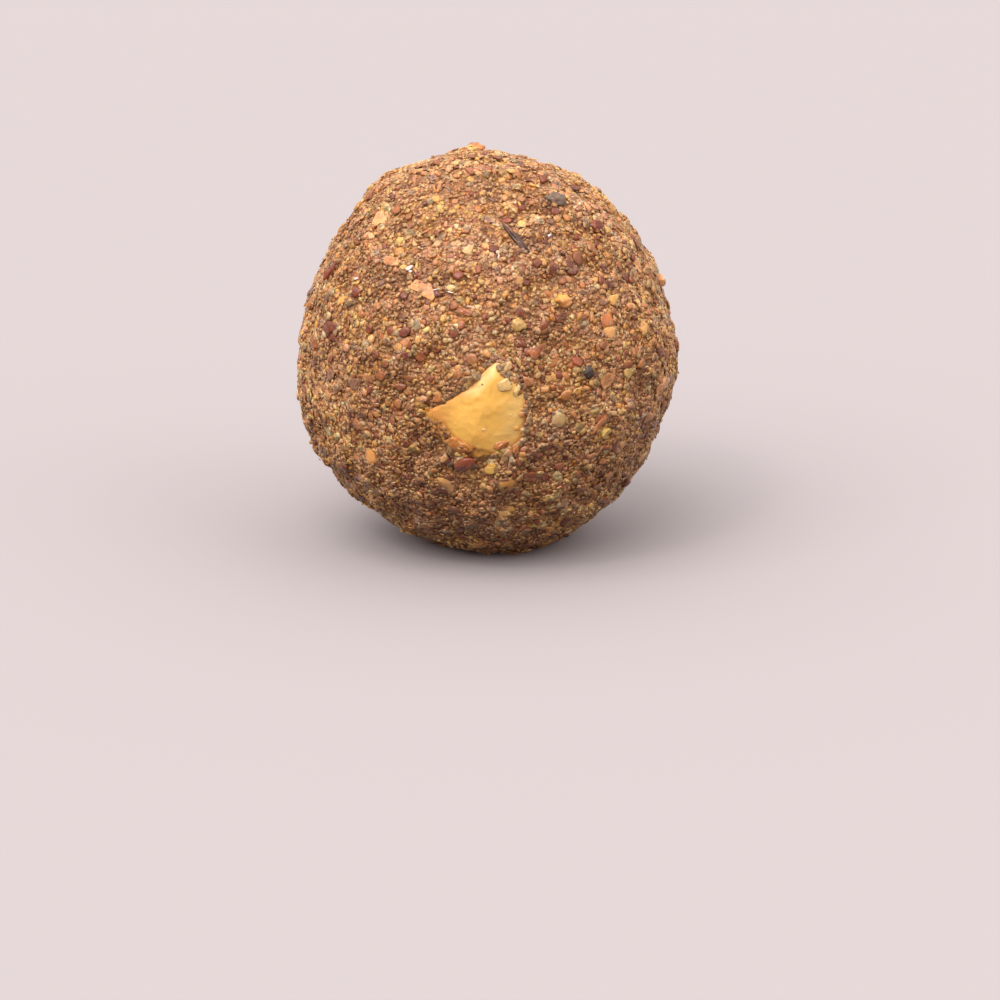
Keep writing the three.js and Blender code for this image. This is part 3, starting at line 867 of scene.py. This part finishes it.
def rim_crumbs(rows, material):
    """Crumbs of meal pressed against the edges of the larger bits, so that they sit in the meal."""
    rng = np.random.default_rng(508)
    each = 9
    toward, heading, sizes = (np.array(column, float) for column in list(zip(*rows))[:3])
    frames = frames_at(toward, heading)
    turn = rng.uniform(0, 2 * math.pi, (len(rows), each))
    ring = np.stack([np.cos(turn), np.sin(turn)], 2) * rng.uniform(0.75, 1.15, (len(rows), each, 1))
    aside = np.einsum("nij,nkj->nki", frames[:, :, :2], ring * sizes[:, None, :2] / 2)
    middles = toward * surface_radius(toward)[:, None]
    around = unit((middles[:, None, :] + aside).reshape(-1, 3))
    size = rng.uniform(0.4, 0.95, len(around))
    lay("rim_crumbs", around, size, CRUMB_MEAL, crumb_form(0.6), material, rng,
        lift=(0.0, 0.5), give=(0.12, 0.3))


def bit_rows():
    """Rows for the husk pieces and the nut crumbs."""
    rng = np.random.default_rng(211)
    husk_tones = [RED_BROWN, BROWN, AMBER, WARM_TAN, ROSY_TAN, DULL_BROWN]
    crumb_tones = [GOLDEN_TAN, TAN, TAN, TAN, WARM_TAN, GOLDEN_TAN]
    husks, crumbs = [], []
    for toward, heading, share, tilt, is_flake in scattered_bits():
        if is_flake:
            length = FLAKE_SHORTEST + (FLAKE_LONGEST - FLAKE_SHORTEST) * share ** 2
            size = (length, length * FLAKE_SLIMNESS, FLAKE_THICKNESS)
            rows, tones, gloss = husks, husk_tones, (0.25, 0.4)
        else:
            size = (CRUMB_SMALLEST + (CRUMB_LARGEST - CRUMB_SMALLEST) * share ** 2) * CRUMB_PROPORTIONS
            rows, tones, gloss, tilt = crumbs, crumb_tones, (0.4, 0.55), 0
        tone = tones[rng.integers(len(tones))]
        rows.append((toward, heading, size, tilt, linear(tone), rng.uniform(*gloss)))
    return husks, crumbs


def placed_rows(table, gloss):
    """Rows for bits that are given by azimuth and elevation."""
    return [(direction(azimuth, elevation), math.radians(heading), size, 0, linear(tone), gloss)
            for azimuth, elevation, size, heading, tone in table]


# ------------------------------------------------------------------ the cashew piece
BEVEL_WIDTH = 1.7
BEVEL_DROP = 0.08
FACE_LIFT = 0.18
FACE_TONE = (250, 190, 94)
# painted light and shade on the face: lighter bevel and right side, darker left tip and edge
LIT_BEVEL_TONE = (255, 218, 142)
EDGE_SHADOW_TONE = (226, 150, 70)
LIT_SIDE_TONE = (238, 196, 124)
SHADED_TIP_TONE = (218, 152, 78)
RING_POINTS = 240
FACE_RINGS = np.r_[np.linspace(0.015, 0.96, 66), 0.98, 0.993, 1.0]  # as shares of the outline
ROUNDED_FROM, ROUNDED_DROP = 0.86, 0.14  # the ring where the face starts to round off, and how far
SIDE_RINGS = ((1.0, 0.6), (0.99, 1.2), (0.95, 2.0), (0.8, 3.0))  # share of the outline, depth
STUB_DEPTH = 3.6


def smooth_step(value, low, high):
    share = np.clip((value - low) / (high - low), 0, 1)
    return share * share * (3 - 2 * share)


def flat_noise(flat, length, seed):
    """Smooth noise over the cashew's plane."""
    return wave_noise(np.c_[flat, np.zeros(len(flat))], length, seed)


def rounded_outline(count):
    """The outline with its corners cut, as evenly spaced points."""
    line = CASHEW_OUTLINE
    for cut in (0.14, 0.2, 0.25):
        ahead = np.roll(line, -1, axis=0)
        line = np.stack([line + cut * (ahead - line), ahead + cut * (line - ahead)], 1).reshape(-1, 2)
    closed = np.vstack([line, line[:1]])
    steps = np.r_[0, np.cumsum(np.linalg.norm(np.diff(closed, axis=0), axis=1))]
    at = np.linspace(0, steps[-1], count, endpoint=False)
    even = np.stack([np.interp(at, steps, closed[:, k]) for k in (0, 1)], 1)
    wobble = 0.008 * flat_noise(even, 2.6, 87) + 0.006 * flat_noise(even, 1.1, 86)
    return even * (1 + wobble)[:, None]


def bevel_share(flat):
    """One on the broken edge up to the tip, fading to nothing on the face."""
    start, tip = CASHEW_OUTLINE[-1], CASHEW_OUTLINE[0]
    along = (tip - start) / np.linalg.norm(tip - start)
    inward = np.array([along[1], -along[0]])
    depth = (flat - start) @ inward + 0.12 * flat_noise(flat, 2.0, 88)
    reach = (flat - start) @ along
    return smooth_step(-depth, -BEVEL_WIDTH, 0.3) * smooth_step(reach, -0.4, 2.2)


def face_height(flat):
    """The part's own slightly ridged face, with a bevel, ripples and small pits."""
    tip_across, tip_up = CASHEW_OUTLINE[0]
    ridge_across = tip_across * flat[:, 1] / tip_up
    nearness = np.maximum(0, 1 - np.abs(flat[:, 0] - ridge_across) / RIDGE_REACH)
    bend = 0.5 * flat_noise(flat, 4.0, 89)
    ripple = np.sin((flat[:, 0] * 0.5 - flat[:, 1] * 0.85 + bend) * 2 * math.pi / 1.5)
    crease = np.exp(-((flat[:, 0] - 1.1 - 0.15 * bend) / 0.12) ** 2) * smooth_step(flat[:, 1], -0.5, 0.8)
    height = CASHEW_RIDGE * nearness - (flat ** 2).sum(1) / BALL_WIDTH
    height += 0.007 * ripple + 0.022 * flat_noise(flat, 2.8, 90) + 0.005 * flat_noise(flat, 0.8, 91)
    return height + FACE_LIFT - 0.03 * crease - BEVEL_DROP * bevel_share(flat)


def face_tones(flat):
    """Golden, with painted light and shade: bevel and right side lit, left tip and edge shaded."""
    colours = np.tile(linear(FACE_TONE), (len(flat), 1))
    noise = flat_noise(flat, 1.8, 92)
    right = 0.7 * smooth_step(flat[:, 0] - 0.25 * flat[:, 1] + 0.3 * noise, 1.2, 3.6)
    left = smooth_step(-flat[:, 0] + 0.2 * noise, 2.6, 5.0)
    lower = 0.6 * smooth_step(-flat[:, 1] - 0.4 * flat[:, 0] + 0.3 * noise, 3.2, 5.0)
    edge = 0.7 * smooth_step(outline_distance(flat) + 0.08 * noise, -0.55, -0.1)
    # painted light and shade: lit bevel and right side, shaded left tip and lower left, shadow along the
    # edge
    shares = ((right, LIT_SIDE_TONE), (np.maximum(left, lower), SHADED_TIP_TONE),
              (smooth_step(bevel_share(flat), 0.05, 0.6), LIT_BEVEL_TONE), (edge, EDGE_SHADOW_TONE))
    for share, tone in shares:
        colours += share[:, None] * (linear(tone) - colours)
    return colours


def cashew_chunk():
    """The piece of cashew: a face that rounds off at its edge, and a plain tapered stub behind it."""
    rim = rounded_outline(RING_POINTS)
    rows = []
    for share in FACE_RINGS:
        flat = rim * share
        edge = max(0.0, (share - ROUNDED_FROM) / (1 - ROUNDED_FROM))
        rows.append(np.c_[flat, face_height(flat) - ROUNDED_DROP * edge ** 2])
    for share, depth in SIDE_RINGS:
        rows.append(np.c_[rim * share, face_height(rim) - depth])
    middle = np.zeros((1, 2))
    local = np.vstack([np.c_[middle, face_height(middle)], *rows, [[0, 0, -STUB_DEPTH]]])
    first = 1 + np.arange(RING_POINTS)
    after = 1 + (np.arange(RING_POINTS) + 1) % RING_POINTS
    faces = [(0, a, b) for a, b in zip(first, after)]
    for _ in rows[1:]:
        faces += [(a, a + RING_POINTS, b + RING_POINTS, b) for a, b in zip(first, after)]
        first, after = first + RING_POINTS, after + RING_POINTS
    faces += [(a, len(local) - 1, b) for a, b in zip(first, after)]
    points = local @ CASHEW_FRAME.T + CASHEW_TOWARD * CASHEW_RADIUS
    mesh = mesh_of("cashew_chunk", points, faces, True)
    paint(mesh, face_tones(local[:, :2]), 0.4)
    add_piece("cashew_chunk", mesh, cashew_material(), "cashew_piece")


def beside_cashew(flat):
    """Directions on the ball for points of the cashew's plane."""
    return unit(CASHEW_TOWARD * CASHEW_RADIUS + flat @ CASHEW_FRAME[:, :2].T)


def edge_crumbs(material):
    """Small crumbs of meal that lap over the cashew's edge."""
    rng = np.random.default_rng(601)
    rim = rounded_outline(300)
    on_broken_edge = rim[:, 1:] > rim[:, :1] + 2
    flat = rim + unit(rim) * (rng.normal(0.18, 0.22, (len(rim), 1)) + 0.28 * on_broken_edge)
    toward = beside_cashew(flat)
    size = rng.uniform(0.35, 1.1, len(toward)) ** 1.2
    lay("edge_crumbs", toward, size, EDGE_MEAL, crumb_form(0.6), material, rng,
        lift=(0.0, 0.5), give=(0.12, 0.3))


def tip_crumbs(material):
    """Meal that laps over the cashew beside its upper tip."""
    rng = np.random.default_rng(605)
    tip, shoulder = CASHEW_OUTLINE[0], CASHEW_OUTLINE[1]
    flat = tip + rng.uniform(-0.05, 1.05, (30, 1)) * (shoulder - tip)
    flat -= rng.uniform(-0.1, 0.8, (30, 1)) * unit(np.array([2.1, 1.7]))
    lay("tip_crumbs", beside_cashew(flat), rng.uniform(0.45, 1.05, 30), EDGE_MEAL, crumb_form(0.5), material,
        rng, lift=(0.0, 0.4), give=(0.15, 0.3), raised=0.45)


def golden_smear(meal):
    """Cashew rubbed into the meal past the piece's left tip and lower left edge, with crumbs in it."""
    paste = grain_material("cashew_smear", 0.3, 0.2, 0.3, 0.0)
    cashew_bits("golden_smear", [(*row, 0.3) for row in SMEAR], paste, 511, 3, 0.16, True, 0.18)
    rng = np.random.default_rng(603)
    tip, corner = CASHEW_OUTLINE[6], CASHEW_OUTLINE[5]
    flat = tip + rng.uniform(-0.12, 1.15, (52, 1)) * (corner - tip)
    flat *= 1 + rng.uniform(-0.04, 0.34, (52, 1))
    lay("smear_crumbs", beside_cashew(flat), rng.uniform(0.3, 0.9, 52), SMEAR_CRUMBS, crumb_form(0.5), meal,
        rng, lift=(0.0, 0.5), give=(0.15, 0.3), raised=0.45)


def cashew_bits(name, rows, material, seed, cuts, uneven, smooth, lift=0.15):
    """Bits on and beside the cashew: rows of right, up, size, heading, tone and gloss."""
    right, up, sizes, heading, tones, gloss = zip(*rows)
    flat = np.stack([right, up], 1)
    toward = beside_cashew(flat)
    on_meal = toward * (meal_radius(toward) + lift)[:, None]
    on_face = np.c_[flat, face_height(flat)] @ CASHEW_FRAME.T + CASHEW_TOWARD * CASHEW_RADIUS
    places = np.where(outline_distance(flat)[:, None] < 0, on_face, on_meal)
    forms, faces = lump_forms(len(flat), cuts, 0.03, uneven, seed)
    frames = frames_at(unit(places), np.radians(heading))
    grains(name, forms, faces, places, frames, np.array(sizes), linear(tones), np.array(gloss), material,
           give=1.5, smooth=smooth, buried=False)


def cashew_surroundings(meal, husk):
    """The crumbs about the cashew, and beads of syrup and specks of husk on its face."""
    cashew_bits("cashew_side_crumbs", [(*row, 0.35) for row in NEAR_CASHEW], meal, 514, 9, 0.02, False)
    cashew_bits("whole_seed", [(*row, 0.12) for row in WHOLE_SEED], husk, 512, 1, 0.03, True, 0.42)
    cashew_bits("amber_flakes", [(*row, 0.16) for row in AMBER_FLAKES], husk, 515, 7, 0.06, False, 0.3)
    marks = [(right, up, (width, 0.85 * width, thickness), 0, tone, gloss)
             for right, up, width, thickness, tone, gloss in FACE_MARKS]
    beads = grain_material("bead_skin", 0.0, 0.05, 0.05, 0.0)
    cashew_bits("face_marks", marks, beads, 509, 2, 0.05, True)


# ------------------------------------------------------------------ stage, lights and camera
PHOTO_SIDE = 1000
BALL_AT = (489, 350)  # the ball's middle in the photograph's frame
PIXELS_PER_MM = 9.5
CAMERA_DISTANCE = 500.0
CAMERA_ELEVATION = 15.0  # of the line from the ball's middle to the camera
SENSOR = 36.0
FLOOR_TONE = (168, 160, 162)


def make_camera():
    data = bpy.data.cameras.new("camera")
    data.sensor_width = SENSOR
    data.lens = PIXELS_PER_MM * CAMERA_DISTANCE * SENSOR / PHOTO_SIDE
    data.clip_start, data.clip_end = 0.01, 20
    camera = link_object("camera", data)
    right_mm = (BALL_AT[0] - PHOTO_SIDE / 2) / PIXELS_PER_MM
    up_mm = (PHOTO_SIDE / 2 - BALL_AT[1]) / PIXELS_PER_MM
    pitch = math.radians(CAMERA_ELEVATION) + math.atan(up_mm / CAMERA_DISTANCE)
    back = Vector((0, -math.cos(pitch), math.sin(pitch)))
    up = Vector((0, math.sin(pitch), math.cos(pitch)))
    right = Vector((1, 0, 0))
    centre = Vector((0, 0, CENTRE_HEIGHT))
    place = centre + back * CAMERA_DISTANCE - right * right_mm - up * up_mm
    camera.location = place * MM
    camera.rotation_mode = "QUATERNION"
    camera.rotation_quaternion = (-back).to_track_quat("-Z", "Y")
    bpy.context.scene.camera = camera


def make_floor():
    radius, sides = 4.0, 96
    turns = np.linspace(0, 2 * math.pi, sides, endpoint=False)
    ring = [(radius * math.cos(turn), radius * math.sin(turn), 0) for turn in turns]
    mesh = bpy.data.meshes.new("floor")
    mesh.from_pydata(ring, [], [tuple(range(sides))])
    material, *_, shader = new_material("pale_floor")
    shader.inputs["Base Color"].default_value = (*linear(FLOOR_TONE), 1)
    shader.inputs["Roughness"].default_value = 0.9
    shader.inputs["Specular IOR Level"].default_value = 0.0
    mesh.materials.append(material)
    floor = link_object("floor", mesh)
    floor.visible_diffuse = False


def sun(name, azimuth, elevation, strength, spread, colour):
    data = bpy.data.lights.new(name, "SUN")
    data.energy = strength
    data.angle = math.radians(spread)
    data.color = colour
    light = link_object(name, data)
    light.rotation_mode = "QUATERNION"
    light.rotation_quaternion = Vector(-direction(azimuth, elevation)).to_track_quat("-Z", "Y")


WARM_BOUNCE = (255, 192, 146)
ROOM_LIGHT = (255, 252, 249)


def make_lights():
    world = bpy.data.worlds.new("soft_room")
    world.use_nodes = True
    nodes, links = world.node_tree.nodes, world.node_tree.links
    background = nodes["Background"]
    split = nodes.new("ShaderNodeSeparateXYZ")
    links.new(nodes.new("ShaderNodeTexCoord").outputs["Generated"], split.inputs[0])
    height = split.outputs["Z"]
    strength = ranged(nodes, links, height, 0.03, 1.55, (-0.25, 0.7))
    links.new(strength, background.inputs["Strength"])
    rise = ranged(nodes, links, height, 0.0, 1.0, (-0.4, 0.3))
    links.new(mixed_colour(nodes, links, rise, WARM_BOUNCE, ROOM_LIGHT), background.inputs["Color"])
    bpy.context.scene.world = world
    sun("key", -38, 51, 2.05, 55, (1.0, 0.98, 0.95))
    sun("sparkle", -35, 50, 0.3, 8, (1.0, 0.98, 0.95))
    sun("fill", 60, 35, 0.45, 40, (1.0, 0.98, 0.96))


# ------------------------------------------------------------------ putting it together
LIGHT_MEAL = ((TAN, 34), (GOLDEN_TAN, 26), (WARM_TAN, 16), (MAUVE_TAN, 8), (CREAM, 11), (NUT, 5))
BROWN_MEAL = ((WARM_TAN, 30), (ROSY_TAN, 22), (MAUVE_TAN, 12), (GOLDEN_BROWN, 16), (BROWN, 16), (AMBER, 4))
FINE_LIGHT = ((TAN, 50), (WARM_TAN, 28), (GOLDEN_TAN, 14), (CREAM, 8))
FINE_BROWN = ((WARM_TAN, 48), (ROSY_TAN, 30), (BROWN, 20), (RED_BROWN, 2))
CRUMB_MEAL = LIGHT_MEAL + BROWN_MEAL
EDGE_MEAL = BROWN_MEAL + ((TAN, 20), (GOLDEN_TAN, 20))
HUSK = ((RED_BROWN, 26), (AMBER, 18), (BROWN, 30), (DULL_BROWN, 8), (MAROON, 12), (GOLDEN_BROWN, 6))
SMEAR_CRUMBS = ((GOLDEN_BROWN, 45), (NUT, 25), (AMBER, 15), (WARM_TAN, 15))


def build():
    meal_core()
    meal = grain_material("meal_grain_skin", 0.75, 0.1, 0.15)
    husk = grain_material("husk_skin", 0.3, 0.4, 0.3, 0.3)
    husks, crumbs = bit_rows()
    marked = placed_rows(MARKED_BITS, 0.35)
    small_husks, small_crumbs = placed_rows(SMALL_HUSKS, 0.2), placed_rows(SMALL_CRUMBS, 0.45)
    crumb = crumb_form(0.5)
    grain_layer("light_grains", 5800, (0.5, 1.45), LIGHT_MEAL, crumb, meal, 401,
                lift=(-0.45, 0.15), lean=0.18, slimness=0.4, spread=0.08)
    grain_layer("brown_grains", 5800, (0.5, 1.45), BROWN_MEAL, crumb, meal, 402,
                lift=(-0.5, 0.0), lean=0.18, slimness=0.4, spread=0.08)
    grain_layer("meal_crumbs", 1100, (1.1, 2.2), CRUMB_MEAL, cluster_form(4, 0.2), meal, 403,
                lift=(-0.35, 0.05), power=1.8, give=(0.1, 0.3))
    grain_layer("husk_flakes", 1400, (0.8, 2.0), HUSK, plate_form(8, 0.55, 0.1, (-1.5, 2.5)), husk, 404,
                lift=(-0.3, 0.9), flatness=0.2, gloss=(0.2, 0.45), power=1.8, give=(0.15, 0.3), rim=0.25)
    thin_on = husks + crumbs + small_husks
    for name, palette, seed in (("fine_light_meal", FINE_LIGHT, 405), ("fine_brown_meal", FINE_BROWN, 406)):
        grain_layer(name, 13500, (0.3, 0.78), palette, shard_form, meal, seed, slimness=0.4, flatness=0.38,
                    lean=0.15, lift=(-0.2, 0.6), power=1.8, give=(0.08, 0.2), spread=0.05, over=thin_on,
                    gloss=(0.35, 0.6))
    grain_layer("loose_crumbs", 900, (0.35, 0.85), LIGHT_MEAL, cluster_form(2, 0.25), meal, 407,
                lift=(0.2, 0.6), flatness=0.8, give=(0.3, 0.6))
    larger_bits("husk_pieces", husks, husk, 501, cuts=7, rim=0.25, smooth=False)
    larger_bits("nut_crumbs", crumbs, meal, 502, uneven=0.06, smooth=False)
    larger_bits("marked_bits", marked, husk, 503, give=3.0)
    larger_bits("stalk_strands", placed_rows(STRANDS, 0.5), husk, 510, lift=0.12, give=3.0)
    larger_bits("small_husks", small_husks, husk, 504, lift=0.08, cuts=7, rim=0.2, smooth=False)
    larger_bits("small_crumbs", small_crumbs, meal, 505, lift=0.05, uneven=0.06, smooth=False)
    # painted highlights: near-white flakes, kept off the syrup tint and the painted shade
    larger_bits("glints", placed_rows(GLINTS, 0.1), husk, 506, lift=0.25, buried=False)
    broad = marked[:STALK_AT] + marked[STALK_AT + 1:]
    rim_crumbs(husks + crumbs + broad + small_husks + small_crumbs, meal)
    cashew_chunk()
    golden_smear(meal)
    edge_crumbs(meal)
    tip_crumbs(meal)
    cashew_surroundings(meal, husk)
    make_floor()
    make_lights()
    make_camera()
    bpy.context.scene.view_settings.view_transform = "Standard"


build()
